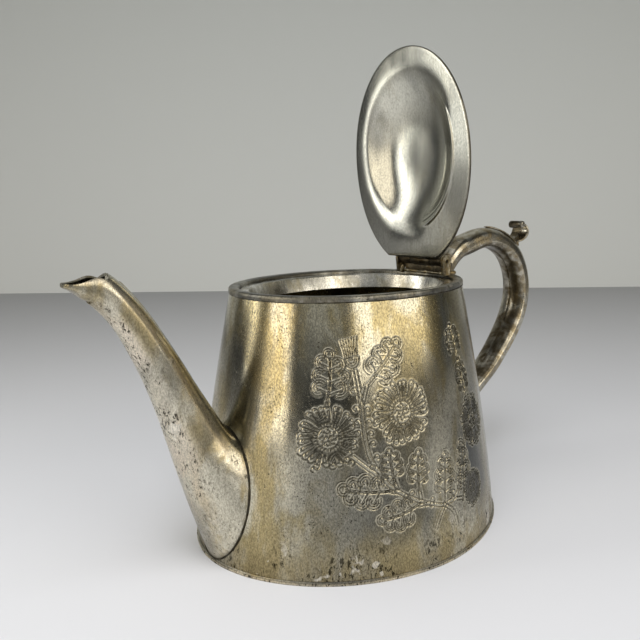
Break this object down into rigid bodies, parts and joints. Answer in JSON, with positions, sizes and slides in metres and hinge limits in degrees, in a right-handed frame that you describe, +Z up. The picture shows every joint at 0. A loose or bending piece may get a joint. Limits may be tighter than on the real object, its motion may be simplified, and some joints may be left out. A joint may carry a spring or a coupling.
{
  "type": "teapot",
  "caption": "Oval tapering silver teapot with an engraved wall, a hinged oval lid that stands open, a curved spout and a hollow loop handle with a thumb rest.",
  "frame": {"origin": "centre of the base's underside, on the table", "axes": "+X from the pot's centre to the handle, -X to the spout, +Z up"},
  "size_m": [0.2713, 0.1336, 0.2244],
  "materials": {
    "wall_silver": "tarnished silver plate, polished by hand with fine upright streaks",
    "base_silver": "tarnished silver plate, worn bright on its edge",
    "rim_silver": "dark grey tarnished silver plate",
    "seat_silver": "cleaner silver plate, satin",
    "spout_silver": "tarnished silver plate, worn and pitted on the front",
    "handle_silver": "tarnished silver plate, brown on its inner face",
    "hinge_silver": "dark tarnished silver with brown solder",
    "pin_steel": "dull drawn wire",
    "lid_silver": "silver plate, brushed satin inside"
  },
  "bodies": {
    "pot": {"base_plate": "base_silver", "body_wall": "wall_silver", "rim_mount": "rim_silver", "lid_seat": "seat_silver", "spout_near_half": "spout_silver", "spout_far_half": "spout_silver", "handle_near_half": "handle_silver", "handle_far_half": "handle_silver", "thumb_rest": "handle_silver", "hinge_bearer": "hinge_silver", "hinge_knuckle_near": "hinge_silver", "hinge_knuckle_far": "hinge_silver", "hinge_cheek_near": "hinge_silver", "hinge_cheek_far": "hinge_silver", "hinge_pin": "pin_steel"},
    "lid": {"lid_plate": "lid_silver", "lid_leaf": "hinge_silver", "lid_knuckle": "hinge_silver", "finial_collar": "lid_silver", "finial_knob": "lid_silver"}
  },
  "joints": [
    {"name": "lid_hinge", "type": "hinge", "parent": "pot", "child": "lid", "pos_m": [0.0504, 0, 0.1217], "axis": [0, 1, 0], "range_deg": [-86, 0]}
  ]
}
